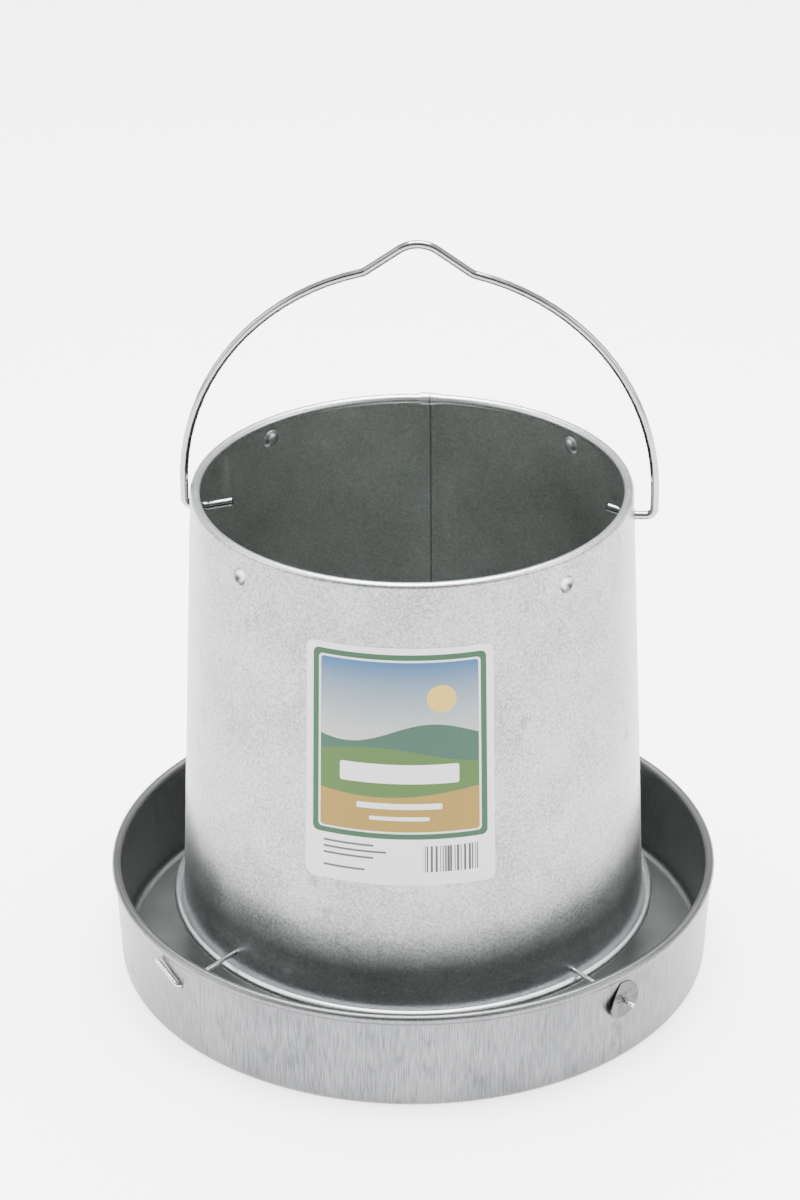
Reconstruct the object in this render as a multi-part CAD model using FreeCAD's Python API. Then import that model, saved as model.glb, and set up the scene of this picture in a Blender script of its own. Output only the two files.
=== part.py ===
"""Hanging gravity feeder for poultry: a tapered hopper over a round pan, a wire bail and two cross rods.

Millimetres, +Z up. The origin is the middle of the pan's underside. The bail swings about X, and the
lap seam of the hopper is at the back, near +Y. Azimuths are turned from the front (-Y) towards +X.
"""
import FreeCAD, Part

import math
import os

from FreeCAD import Rotation, Vector

# ---- driving dimensions --------------------------------------------------------------------------
SHEET = 0.65                      # galvanised sheet of the hopper and the pan

PAN_RIM_RADIUS = 152.4            # outside of the rolled lip: a 12 inch pan
PAN_LIP_Z = 51.5                  # height of the middle of the lip's curl
PAN_LIP_CURL = 2.5                # outer radius of the curl
PAN_WALL_TOP_RADIUS = 151.0       # outside of the wall, just under the lip
PAN_WALL_FOOT_RADIUS = 149.0      # outside of the wall, just above the corner with the floor
PAN_CORNER = 4.5                  # outer radius of that corner

HOPPER_RIM_RADIUS = 106.5         # outside of the upper rim
HOPPER_RIM_Z = 255.9              # height of the middle of the rim's inward curl
HOPPER_RIM_CURL = 2.4
HOPPER_FOOT_RADIUS = 121.4        # outside of the foot bead
HOPPER_FOOT_Z = 33.1              # height of the middle of the foot's outward curl
HOPPER_FOOT_CURL = 2.4
HOPPER_FLARE_Z = 40.0             # below this the wall flares a little into the foot bead
HOPPER_FLARE_RADIUS = 116.2       # outside of the wall at that height
SEAM_AZIMUTHS = (178.2, 180.8)    # the two edges of the lap seam
DIMPLE_AZIMUTHS = (-135.0, -45.0, 45.0, 135.0)
DIMPLE_Z = 245.0
DIMPLE_RADIUS = 3.3
DIMPLE_DEPTH = 1.6

BAIL_WIRE = 4.1                   # wire diameter
BAIL_PIVOT_Z = 244.0
BAIL_HALF_WIDTH = 113.1           # from the bail's own middle to the centre line of a leg
BAIL_SHIFT = 3.2                  # the bail hangs this far over to one side, within its play
BAIL_BEND = 4.0                   # centre line radius between a leg and its pivot end
BAIL_ARCH_Z = 256.4               # where the straight legs run into the half round arch
BAIL_APEX_Z = 381.0               # centre line at the top of the hanging hump
BAIL_HUMP_RADIUS = 16.0           # centre line radius of the hump's round top
BAIL_HUMP_SLOPE = 35.0            # degrees, the straight flanks of the hump
BAIL_PIVOT_LENGTH = 11.0          # straight pivot end, inwards from the leg's centre line
BAIL_TIP_LENGTH = 12.5            # the rest of the pivot end, bent up inside the hopper
BAIL_TIP_SLOPES = (12.0, 20.0)    # degrees, at the -X end and at the +X end
BAIL_TIP_BEND = 8.0               # centre line radius between the two
BAIL_HOLE = 5.4                   # hole diameter in the hopper's wall

ROD_WIRE = 2.3
ROD_PAN_Z = 37.4                  # both rods cross the pan's wall at this height
ROD_UPPER_Z = 41.3                # the upper rod is bowed up over the lower one
ROD_UPPER_AZIMUTH = -45.0         # where its bent head is
ROD_LOWER_AZIMUTH = -135.0
ROD_HEAD_LENGTH = 18.7            # the head lies along the outside of the pan
ROD_HEAD_SLOPE = 24.0             # degrees above the horizontal
ROD_HEAD_BEND = 2.4
ROD_TIP = 3.0                     # wire end that stands out of its push nut
ROD_GAP = 0.4                     # between the head's wire and the pan's wall
ROD_BOW_RADIUS = 30.0             # centre line radius where the upper rod turns level

NUT_RADIUS = 9.8
NUT_SHEET = 0.6
NUT_DISH = 1.4                    # how far the nut's middle stands out from its edge
NUT_COLLAR_RADIUS = 4.4           # round the raised middle
NUT_GAP = 0.6                     # from the pan's wall at the rod to the nut's rim

LABEL_HALF_WIDTH = 23.3           # degrees of azimuth
LABEL_BOTTOM_Z = 102.6
LABEL_TOP_Z = 226.5
LABEL_SHEET = 0.15
LABEL_GLUE = 0.02                 # the film lies this far off the wall

UP = Vector(0, 0, 1)


# ---- shapes that several pieces share --------------------------------------------------------------
def radial(azimuth, radius, z):
    """Point at an azimuth, a radius and a height."""
    turn = math.radians(azimuth)
    return Vector(radius * math.sin(turn), -radius * math.cos(turn), z)


def arc(centre, radius, start, end):
    """Edge in the XZ plane from one angle to another, in degrees from +X towards +Z."""
    def on_circle(angle):
        turn = math.radians(angle)
        return Vector(centre[0] + radius * math.cos(turn), 0, centre[1] + radius * math.sin(turn))
    return Part.Arc(on_circle(start), on_circle((start + end) / 2.0), on_circle(end)).toShape()


def first_point(edge):
    return edge.valueAt(edge.FirstParameter)


def last_point(edge):
    return edge.valueAt(edge.LastParameter)


def joined(edges):
    """Wire through the edges in turn, with a straight run wherever two of them stand apart."""
    chain = [edges[0]]
    for edge in edges[1:]:
        if (first_point(edge) - last_point(chain[-1])).Length > 1e-6:
            chain.append(Part.LineSegment(last_point(chain[-1]), first_point(edge)).toShape())
        chain.append(edge)
    return Part.Wire(chain)


def spun_sheet(edges, thickness):
    """Round sheet whose middle surface is the outline turned about Z."""
    outline = joined(edges)
    half = thickness / 2.0
    inner = outline.makeOffset2D(half, openResult=True)
    outer = outline.makeOffset2D(-half, openResult=True)
    ends = [Part.LineSegment(a.Point, b.Point).toShape()
            for a, b in zip(ends_of(inner), ends_of(outer))]
    section = Part.Face(Part.Wire(Part.__sortEdges__(inner.Edges + outer.Edges + ends)))
    return section.revolve(Vector(0, 0, 0), UP, 360)


def ends_of(wire):
    """The two free vertices of an open wire."""
    return wire.OrderedVertexes[0], wire.OrderedVertexes[-1]


def bent_wire(edges, diameter, kinks=()):
    """Round wire along lines and arcs that follow on, with a ball at each point where they turn sharply."""
    radius = diameter / 2.0
    solids = [Part.makeSphere(radius, kink) for kink in kinks]
    for edge in edges:
        start = first_point(edge)
        direction = edge.tangentAt(edge.FirstParameter)
        curve = edge.Curve
        if isinstance(curve, Part.Circle):
            section = Part.Face(Part.Wire(Part.Circle(start, direction, radius).toShape()))
            turn = math.degrees(edge.Length / curve.Radius)
            solids.append(section.revolve(curve.Center, curve.Axis, turn))
        else:
            solids.append(Part.makeCylinder(radius, edge.Length, start, direction))
    return solids[0].multiFuse(solids[1:]).removeSplitter()


def rounded(points, radii):
    """Edges through the points, with a tangent arc of the given radius at each inner one."""
    edges = []
    start = points[0]
    for before, corner, after, radius in zip(points, points[1:], points[2:], radii):
        back = (before - corner).normalize()
        ahead = (after - corner).normalize()
        half = back.getAngle(ahead) / 2.0
        reach = radius / math.tan(half)
        middle = corner + (back + ahead).normalize() * (radius / math.sin(half) - radius)
        edges.append(Part.LineSegment(start, corner + back * reach).toShape())
        edges.append(Part.Arc(corner + back * reach, middle, corner + ahead * reach).toShape())
        start = corner + ahead * reach
    edges.append(Part.LineSegment(start, points[-1]).toShape())
    return edges


def wall_radius(z):
    """Outside radius of the hopper's wall between the flare and the rim."""
    share = (z - HOPPER_FLARE_Z) / (HOPPER_RIM_Z - HOPPER_FLARE_Z)
    return HOPPER_FLARE_RADIUS + share * (HOPPER_RIM_RADIUS - HOPPER_FLARE_RADIUS)


def pan_wall_radius(z):
    """Outside radius of the pan's wall."""
    share = (z - PAN_CORNER) / (PAN_LIP_Z - PAN_LIP_CURL - PAN_CORNER)
    return PAN_WALL_FOOT_RADIUS + share * (PAN_WALL_TOP_RADIUS - PAN_WALL_FOOT_RADIUS)


# ---- pieces ------------------------------------------------------------------------------------------
def make_pan():
    half = SHEET / 2.0
    foot = PAN_WALL_FOOT_RADIUS - half
    corner = PAN_CORNER - half
    curl = PAN_LIP_CURL - half
    lip_centre = (PAN_RIM_RADIUS - PAN_LIP_CURL, PAN_LIP_Z)
    floor = Part.LineSegment(Vector(0, 0, half), Vector(foot - corner, 0, half)).toShape()
    outline = [floor,
               arc((foot - corner, PAN_CORNER), corner, -90, 0),
               arc(lip_centre, curl, -64, 235)]
    return spun_sheet(outline, SHEET)


def make_dimple_tools(azimuth):
    """The dome that stands out inside the hopper, and the hollow that is cut from outside."""
    sphere = (DIMPLE_RADIUS ** 2 + DIMPLE_DEPTH ** 2) / (2.0 * DIMPLE_DEPTH)
    centre = radial(azimuth, wall_radius(DIMPLE_Z) + sphere - DIMPLE_DEPTH, DIMPLE_Z)
    return Part.makeSphere(sphere + SHEET, centre), Part.makeSphere(sphere, centre)


def make_hopper():
    half = SHEET / 2.0
    rim_curl = HOPPER_RIM_CURL - half
    foot_curl = HOPPER_FOOT_CURL - half
    rim_centre = (HOPPER_RIM_RADIUS - HOPPER_RIM_CURL, HOPPER_RIM_Z)
    foot_centre = (HOPPER_FOOT_RADIUS - HOPPER_FOOT_CURL, HOPPER_FOOT_Z)
    wall = Part.LineSegment(Vector(HOPPER_RIM_RADIUS - half, 0, HOPPER_RIM_Z),
                            Vector(HOPPER_FLARE_RADIUS - half, 0, HOPPER_FLARE_Z)).toShape()
    outline = [arc(rim_centre, rim_curl, 270, 0), wall, arc(foot_centre, foot_curl, 180, 440)]
    hopper = spun_sheet(outline, SHEET)

    bottom = HOPPER_FLARE_Z + 1.0
    top = HOPPER_RIM_Z - HOPPER_RIM_CURL
    corners = ((bottom, -half), (bottom, SHEET), (top, SHEET), (top, -half))
    lap_outline = [Vector(wall_radius(z) + reach, 0, z) for z, reach in corners]
    start, end = SEAM_AZIMUTHS
    lap = Part.Face(Part.makePolygon(lap_outline + lap_outline[:1]))
    lap = lap.revolve(Vector(0, 0, 0), UP, end - start)
    lap.rotate(Vector(0, 0, 0), UP, start - 90.0)
    hopper = hopper.fuse(lap)

    inside = Part.makeCone(wall_radius(0) - half, wall_radius(HOPPER_RIM_Z) - half, HOPPER_RIM_Z)
    for azimuth in DIMPLE_AZIMUTHS:
        dome, hollow = make_dimple_tools(azimuth)
        hopper = hopper.fuse(dome.common(inside)).cut(hollow)
    pivot = Part.makeCylinder(BAIL_HOLE / 2.0, 2 * HOPPER_FOOT_RADIUS,
                              Vector(-HOPPER_FOOT_RADIUS, 0, BAIL_PIVOT_Z), Vector(1, 0, 0))
    return hopper.cut(pivot)


def make_bail():
    """Half round arch with a hump to hang it by, and two pivot ends bent in through the hopper."""
    def at(x, z):
        return Vector(BAIL_SHIFT + x, 0, z)

    slope = math.radians(BAIL_HUMP_SLOPE)
    hump_centre = BAIL_APEX_Z - BAIL_HUMP_RADIUS
    flank = Vector(BAIL_HUMP_RADIUS * math.sin(slope), 0, BAIL_HUMP_RADIUS * math.cos(slope))
    from_arch = flank + UP * (hump_centre - BAIL_ARCH_Z)
    down = Vector(math.cos(slope), 0, -math.sin(slope))
    # the flank, carried on straight down, meets the arch at the kink
    nearest = -from_arch.dot(down)
    run = nearest - math.sqrt(nearest ** 2 + BAIL_HALF_WIDTH ** 2 - from_arch.dot(from_arch))
    kink = from_arch + down * run
    kink_angle = math.degrees(math.atan2(kink.z, kink.x))

    def side(sign, tip_slope):
        """Half of the bail, from its tip to the top of a flank, as edges in order."""
        lean = math.radians(tip_slope)
        start = BAIL_HALF_WIDTH - BAIL_PIVOT_LENGTH
        tip = at(sign * (start - BAIL_TIP_LENGTH * math.cos(lean)),
                 BAIL_PIVOT_Z + BAIL_TIP_LENGTH * math.sin(lean))
        leg = rounded([tip, at(sign * start, BAIL_PIVOT_Z), at(sign * BAIL_HALF_WIDTH, BAIL_PIVOT_Z),
                       at(sign * BAIL_HALF_WIDTH, BAIL_ARCH_Z)], [BAIL_TIP_BEND, BAIL_BEND])
        foot = 90.0 - sign * 90.0
        arch = arc((BAIL_SHIFT, BAIL_ARCH_Z), BAIL_HALF_WIDTH, foot, foot + sign * kink_angle)
        top = Part.LineSegment(at(sign * kink.x, BAIL_ARCH_Z + kink.z),
                               at(sign * flank.x, hump_centre + flank.z)).toShape()
        return leg + [arch, top]

    hump = arc((BAIL_SHIFT, hump_centre), BAIL_HUMP_RADIUS, 90 + BAIL_HUMP_SLOPE, 90 - BAIL_HUMP_SLOPE)
    edges = side(-1, BAIL_TIP_SLOPES[0]) + [hump] + side(1, BAIL_TIP_SLOPES[1])
    kinks = [at(sign * kink.x, BAIL_ARCH_Z + kink.z) for sign in (-1, 1)]
    return bent_wire(edges, BAIL_WIRE, kinks)


def make_cross_rod(azimuth, middle_z):
    """Wire through pan and hopper, with an L bent head outside the pan at the azimuth given."""
    out = pan_wall_radius(ROD_PAN_Z) + ROD_GAP + ROD_WIRE / 2.0
    lean = math.radians(ROD_HEAD_SLOPE)
    corner = radial(azimuth, out, ROD_PAN_Z)
    along = radial(azimuth - 90.0, 1, 0)
    head = corner + along * (ROD_HEAD_LENGTH * math.cos(lean)) + UP * (ROD_HEAD_LENGTH * math.sin(lean))
    points = [head, corner]
    radii = [ROD_HEAD_BEND]
    if middle_z > ROD_PAN_Z:
        for side in (azimuth, azimuth + 180.0):
            points.append(radial(side, HOPPER_FOOT_RADIUS - HOPPER_FOOT_CURL, middle_z))
            radii.append(ROD_BOW_RADIUS)
    nut_face = pan_wall_radius(ROD_PAN_Z) + NUT_GAP + NUT_DISH + NUT_SHEET
    points.append(radial(azimuth + 180.0, nut_face + ROD_TIP, ROD_PAN_Z))
    return bent_wire(rounded(points, radii), ROD_WIRE)


def make_push_nut(azimuth):
    """Dished disc of spring steel pushed on to the end of a rod."""
    bore = ROD_WIRE / 2.0
    levels = ((bore, NUT_DISH), (NUT_COLLAR_RADIUS, NUT_DISH), (NUT_COLLAR_RADIUS + 1.0, NUT_DISH * 0.4),
              (NUT_RADIUS, 0.0))
    profile = ([Vector(radius, 0, level + NUT_SHEET) for radius, level in levels]
               + [Vector(radius, 0, level) for radius, level in reversed(levels)])
    nut = Part.Face(Part.makePolygon(profile + profile[:1])).revolve(Vector(0, 0, 0), UP, 360)
    seat = radial(azimuth, pan_wall_radius(ROD_PAN_Z) + NUT_GAP, ROD_PAN_Z)
    nut.Placement = FreeCAD.Placement(seat, Rotation(UP, radial(azimuth, 1, 0)))
    return nut


def make_label():
    inner, outer = LABEL_GLUE, LABEL_GLUE + LABEL_SHEET
    corners = ((LABEL_BOTTOM_Z, inner), (LABEL_BOTTOM_Z, outer), (LABEL_TOP_Z, outer), (LABEL_TOP_Z, inner))
    outline = [Vector(wall_radius(z) + reach, 0, z) for z, reach in corners]
    label = Part.Face(Part.makePolygon(outline + outline[:1]))
    label = label.revolve(Vector(0, 0, 0), UP, 2 * LABEL_HALF_WIDTH)
    label.rotate(Vector(0, 0, 0), UP, -90.0 - LABEL_HALF_WIDTH)
    return label


def main():
    rods = {"cross_rod_upper": make_cross_rod(ROD_UPPER_AZIMUTH, ROD_UPPER_Z),
            "cross_rod_lower": make_cross_rod(ROD_LOWER_AZIMUTH, ROD_PAN_Z)}
    drilled = {"pan": make_pan(),
               "hopper": make_hopper(),
               "push_nut_upper": make_push_nut(ROD_UPPER_AZIMUTH + 180),
               "push_nut_lower": make_push_nut(ROD_LOWER_AZIMUTH + 180)}
    # the rods are a tight fit in every sheet that they go through
    for name in drilled:
        for rod in rods.values():
            drilled[name] = drilled[name].cut(rod)
    pieces = {**drilled, **rods, "bail": make_bail(), "label": make_label()}
    os.makedirs("parts", exist_ok=True)
    for name, shape in pieces.items():
        box = shape.BoundBox
        print(name, shape.ShapeType, "valid" if shape.isValid() else "NOT VALID", len(shape.Solids),
              "solids, volume", round(shape.Volume, 1), "z", round(box.ZMin, 2), round(box.ZMax, 2))
        shape.exportStep(f"parts/{name}.step")


main()
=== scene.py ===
"""Looks of the hanging poultry feeder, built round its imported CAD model.

Everything is in metres, in the CAD's own frame: +Z up, the label faces -Y and the bail swings about X.
Azimuths run from the front (-Y) towards +X, in degrees.
"""
import logging
import math
from dataclasses import dataclass, field
from enum import Enum
from typing import Callable, Optional, Sequence, Union

import bmesh
import bpy
from bmesh.types import BMEdge, BMesh, BMFace, BMVert
from mathutils import Matrix, Vector


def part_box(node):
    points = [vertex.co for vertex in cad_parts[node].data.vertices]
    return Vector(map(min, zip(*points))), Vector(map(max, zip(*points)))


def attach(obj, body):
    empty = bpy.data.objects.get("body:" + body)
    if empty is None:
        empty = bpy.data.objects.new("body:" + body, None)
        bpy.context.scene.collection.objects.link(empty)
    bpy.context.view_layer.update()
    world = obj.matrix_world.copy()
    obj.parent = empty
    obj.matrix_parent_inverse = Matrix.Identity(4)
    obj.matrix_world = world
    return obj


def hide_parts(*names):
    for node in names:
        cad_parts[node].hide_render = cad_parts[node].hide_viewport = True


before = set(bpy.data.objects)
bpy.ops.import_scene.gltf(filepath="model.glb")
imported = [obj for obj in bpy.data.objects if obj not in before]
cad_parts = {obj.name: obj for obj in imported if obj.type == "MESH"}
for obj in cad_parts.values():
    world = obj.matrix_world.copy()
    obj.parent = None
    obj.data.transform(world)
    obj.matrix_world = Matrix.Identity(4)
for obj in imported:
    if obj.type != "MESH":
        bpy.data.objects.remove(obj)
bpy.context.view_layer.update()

LOG = logging.getLogger("feeder")
MM = 0.001
UP = Vector((0.0, 0.0, 1.0))
Colour = tuple[float, float, float]
Place = tuple[float, float, float]

SHEET = 0.65 * MM                           # galvanised sheet of the hopper and the pan
SEAM = (178.2, 180.8)                       # azimuths of the inner and the outer layer's edge
SEAM_STEP = SHEET + 0.10 * MM               # how far the lap seam's outer layer stands out
QUARTERS = (-135.0, -45.0, 45.0, 135.0)     # azimuths of the dimples and of the rods' holes
ROD_AZIMUTHS = {"cross_rod_upper": -45.0, "cross_rod_lower": -135.0}
DIMPLE_HEIGHT = 245.0 * MM
DIMPLE_OFFSET = 75.5 * MM                   # of a dimple's middle from the axis, along X and along Y
DIMPLE_PROFILE = ((1.0, -0.04), (0.92, 0.08), (0.84, 0.3), (0.74, 0.55), (0.62, 0.76), (0.48, 0.9),
                  (0.32, 0.97), (0.16, 1.0))        # share of its radius, share of its depth
SHEET_CREASE, NUT_CREASE, WIRE_CREASE = 50.0, 45.0, 40.0        # angles of edges that stay crisp
ON_PLANE = 1e-7                             # how near to a cut a corner counts as lying on it


class Body(Enum):
    """CAD bodies that a piece rides on."""
    FEEDER = "feeder"
    BAIL = "bail"


# ---- small helpers ---------------------------------------------------------------------------------
def around(azimuth: float, radius: float, height: float) -> Vector:
    """Finds the point at an azimuth, a radius and a height.

    Args:
        azimuth: Degrees from the front towards +X.
        radius: Distance from the feeder's axis.
        height: Height above the floor.

    Returns:
        The point.
    """
    turn = math.radians(azimuth)
    return Vector((radius * math.sin(turn), -radius * math.cos(turn), height))


def azimuth_of(point: Vector) -> float:
    """Returns a point's azimuth in degrees."""
    return math.degrees(math.atan2(point.x, -point.y))


def smooth_step(value: float) -> float:
    """Returns an eased 0 to 1 for a value that runs from 0 to 1."""
    share = min(max(value, 0.0), 1.0)
    return share * share * (3.0 - 2.0 * share)


def interpolate(value: float, stops: Sequence[tuple[float, float]]) -> float:
    """Reads a broken line.

    Args:
        value: Where to read it.
        stops: The line's points as (value, result), rising in value.

    Returns:
        The result, held level beyond the two ends.
    """
    if value <= stops[0][0]:
        return stops[0][1]
    for (low, first), (high, second) in zip(stops, stops[1:]):
        if value <= high:
            return first + (second - first) * (value - low) / (high - low)
    return stops[-1][1]


def link_mesh(mesh: BMesh, name: str, material: bpy.types.Material) -> bpy.types.Object:
    """Turns a bmesh into an object of the scene.

    Args:
        mesh: The shape, which is freed.
        name: The object's name.
        material: Its finish.

    Returns:
        The new object.
    """
    data = bpy.data.meshes.new(name)
    mesh.to_mesh(data)
    mesh.free()
    data.materials.append(material)
    thing = bpy.data.objects.new(name, data)
    bpy.context.scene.collection.objects.link(thing)
    return thing


def finish_piece(mesh: BMesh, name: str, body: Body, node: str, material: bpy.types.Material) -> bpy.types.Object:
    """Turns a finished bmesh into a piece that rides on a body in place of a CAD node.

    Args:
        mesh: The shape, which is freed.
        name: The piece's name.
        body: The CAD body that it moves with.
        node: The CAD node that it stands for.
        material: Its finish.

    Returns:
        The new object.
    """
    for face in mesh.faces:
        face.smooth = True
    piece = link_mesh(mesh, name, material)
    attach(piece, body.value)
    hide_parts(node)
    LOG.info("%s: %d faces", name, len(piece.data.polygons))
    return piece


def set_on_stage(mesh: BMesh, name: str, material: bpy.types.Material) -> bpy.types.Object:
    """Turns a bmesh into part of the studio, which isn't part of the feeder.

    Args:
        mesh: The shape, which is freed.
        name: Its name.
        material: Its finish.

    Returns:
        The new object.
    """
    thing = link_mesh(mesh, name, material)
    return thing


def slice_mesh(mesh: BMesh, place: Sequence[float], normal: Sequence[float], trim: bool = False) -> None:
    """Cuts a mesh along a plane.

    Args:
        mesh: The mesh.
        place: A point on the plane.
        normal: The plane's normal.
        trim: Whether what lies on the normal's side comes off.
    """
    bmesh.ops.bisect_plane(mesh, geom=mesh.verts[:] + mesh.edges[:] + mesh.faces[:], dist=ON_PLANE,
                           plane_co=place, plane_no=normal, clear_outer=trim)


def thicken(piece: bpy.types.Object, thickness: float) -> None:
    """Gives a piece made as a middle surface the thickness of its sheet.

    Args:
        piece: The piece.
        thickness: The sheet's thickness.
    """
    solid = piece.modifiers.new("sheet", "SOLIDIFY")
    solid.thickness = thickness
    solid.offset = 0.0
    solid.use_even_offset = True


def crisp_edges(piece: bpy.types.Object, angle: float) -> None:
    """Splits the shading where faces meet at more than an angle.

    Args:
        piece: The piece.
        angle: The angle in degrees.
    """
    split = piece.modifiers.new("edges", "EDGE_SPLIT")
    split.split_angle = math.radians(angle)
    split.use_edge_sharp = False


# ---- shader graphs -----------------------------------------------------------------------------------
class Graph:
    """Node tree of one finish, with its Principled shader."""

    def __init__(self, name: str) -> None:
        """Starts a material.

        Args:
            name: The material's name.
        """
        self.material = bpy.data.materials.new(name)
        self.material.use_nodes = True
        self.tree = self.material.node_tree
        self.shader = self.tree.nodes["Principled BSDF"]

    def put(self, target: bpy.types.NodeSocket, value: object) -> None:
        """Links or sets a socket.

        Args:
            target: The socket.
            value: A Value, a socket, a number or a tuple.
        """
        if isinstance(value, Value):
            value = value.socket
        if isinstance(value, bpy.types.NodeSocket):
            self.tree.links.new(value, target)
        else:
            target.default_value = value

    def add(self, kind: str, settings: dict[str, object], inputs: dict[Union[int, str], object]) -> bpy.types.Node:
        """Adds a node.

        Args:
            kind: The node's type.
            settings: Its properties; "stops" fills a colour ramp with (position, colour) pairs.
            inputs: Values or links of its sockets, by name or number.

        Returns:
            The node.
        """
        node = self.tree.nodes.new(kind)
        for name, value in settings.items():
            if name == "stops":
                ramp = node.color_ramp.elements
                while len(ramp) < len(value):
                    ramp.new(1.0)
                for element, (position, colour) in zip(ramp, value):
                    element.position = position
                    element.color = (*colour, 1.0)
            else:
                setattr(node, name, value)
        for name, value in inputs.items():
            self.put(node.inputs[name], value)
        return node

    def coordinates(self, scale: Colour = (1.0, 1.0, 1.0)) -> bpy.types.NodeSocket:
        """Returns object coordinates stretched by a scale."""
        source = self.add("ShaderNodeTexCoord", {}, {}).outputs["Object"]
        return self.add("ShaderNodeMapping", {}, {"Vector": source, "Scale": scale}).outputs[0]

    def axes(self, vector: Optional[bpy.types.NodeSocket] = None) -> list["Value"]:
        """Splits a vector.

        Args:
            vector: The vector; the object coordinates where none is given.

        Returns:
            Its x, y and z.
        """
        if vector is None:
            vector = self.coordinates()
        return [Value(self, part) for part in self.add("ShaderNodeSeparateXYZ", {}, {0: vector}).outputs]

    def noise(self, size: float, detail: float = 2.0, scale: Colour = (1.0, 1.0, 1.0)) -> "Value":
        """Makes a cloud of noise.

        Args:
            size: Size of its features in metres.
            detail: How many finer layers it has.
            scale: How much the pattern is squeezed along each axis.

        Returns:
            The noise, from about 0.25 to 0.75.
        """
        node = self.add("ShaderNodeTexNoise", {"noise_dimensions": "3D"},
                        {"Vector": self.coordinates(scale), "Scale": 1.0 / size, "Detail": detail})
        return Value(self, node.outputs["Fac"])

    def mix(self, share: object, first: object, second: object) -> bpy.types.NodeSocket:
        """Mixes two colours.

        Args:
            share: How much of the second, from 0 to 1.
            first: A colour or a colour socket.
            second: A colour or a colour socket.

        Returns:
            The mixed colour.
        """
        colours = [(*c, 1.0) if isinstance(c, tuple) else c for c in (first, second)]
        node = self.add("ShaderNodeMix", {"data_type": "RGBA", "clamp_factor": True},
                        {0: share, 6: colours[0], 7: colours[1]})
        return node.outputs[2]

    def dress(self, **inputs: object) -> None:
        """Fills the shader's sockets, named with underscores in place of spaces."""
        for name, value in inputs.items():
            self.put(self.shader.inputs[name.replace("_", " ")], value)

    def bump(self, height: "Value", depth: float) -> None:
        """Feeds the shader's normal from a height.

        Args:
            height: The height, from 0 to 1.
            depth: What 1 stands for, in metres.
        """
        node = self.add("ShaderNodeBump", {}, {"Strength": 1.0, "Distance": depth, "Height": height})
        self.put(self.shader.inputs["Normal"], node.outputs[0])


class Value:
    """Number that varies over a surface; sums on it add Math nodes."""

    def __init__(self, graph: Graph, socket: bpy.types.NodeSocket) -> None:
        """Wraps a socket.

        Args:
            graph: The graph that it belongs to.
            socket: The socket.
        """
        self.graph = graph
        self.socket = socket

    def apply(self, operation: str, *others: object) -> "Value":
        """Adds a Math node with this value first.

        Args:
            operation: The Math node's operation.
            others: The node's other inputs.

        Returns:
            The node's result.
        """
        inputs = dict(enumerate((self, *others)))
        return Value(self.graph, self.graph.add("ShaderNodeMath", {"operation": operation}, inputs).outputs[0])

    def reflect(self, operation: str, other: object) -> "Value":
        """Adds a Math node with the other number first."""
        node = self.graph.add("ShaderNodeMath", {"operation": operation}, {0: other, 1: self})
        return Value(self.graph, node.outputs[0])

    def __add__(self, other: object) -> "Value":
        """Returns the sum."""
        return self.apply("ADD", other)

    __radd__ = __add__

    def __sub__(self, other: object) -> "Value":
        """Returns the difference."""
        return self.apply("SUBTRACT", other)

    def __rsub__(self, other: object) -> "Value":
        """Returns the other number less this one."""
        return self.reflect("SUBTRACT", other)

    def __mul__(self, other: object) -> "Value":
        """Returns the product."""
        return self.apply("MULTIPLY", other)

    __rmul__ = __mul__

    def __truediv__(self, other: object) -> "Value":
        """Returns the quotient."""
        return self.apply("DIVIDE", other)

    def __abs__(self) -> "Value":
        """Returns the size without its sign."""
        return self.apply("ABSOLUTE")

    def high(self, other: object) -> "Value":
        """Returns the larger of the two."""
        return self.apply("MAXIMUM", other)

    def low(self, other: object) -> "Value":
        """Returns the smaller of the two."""
        return self.apply("MINIMUM", other)

    def ease(self, start: float, end: float) -> "Value":
        """Eases from 0 to 1.

        Args:
            start: Where it leaves 0.
            end: Where it reaches 1.

        Returns:
            0 before start and 1 after end.
        """
        node = self.graph.add("ShaderNodeMapRange", {"interpolation_type": "SMOOTHSTEP"},
                              {"Value": self, "From Min": start, "From Max": end})
        return Value(self.graph, node.outputs[0])

    def inside(self, edge: float, blur: float) -> "Value":
        """Returns 1 where this distance is under an edge, with a blurred border."""
        return 1.0 - self.ease(edge - blur, edge + blur)


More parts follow.
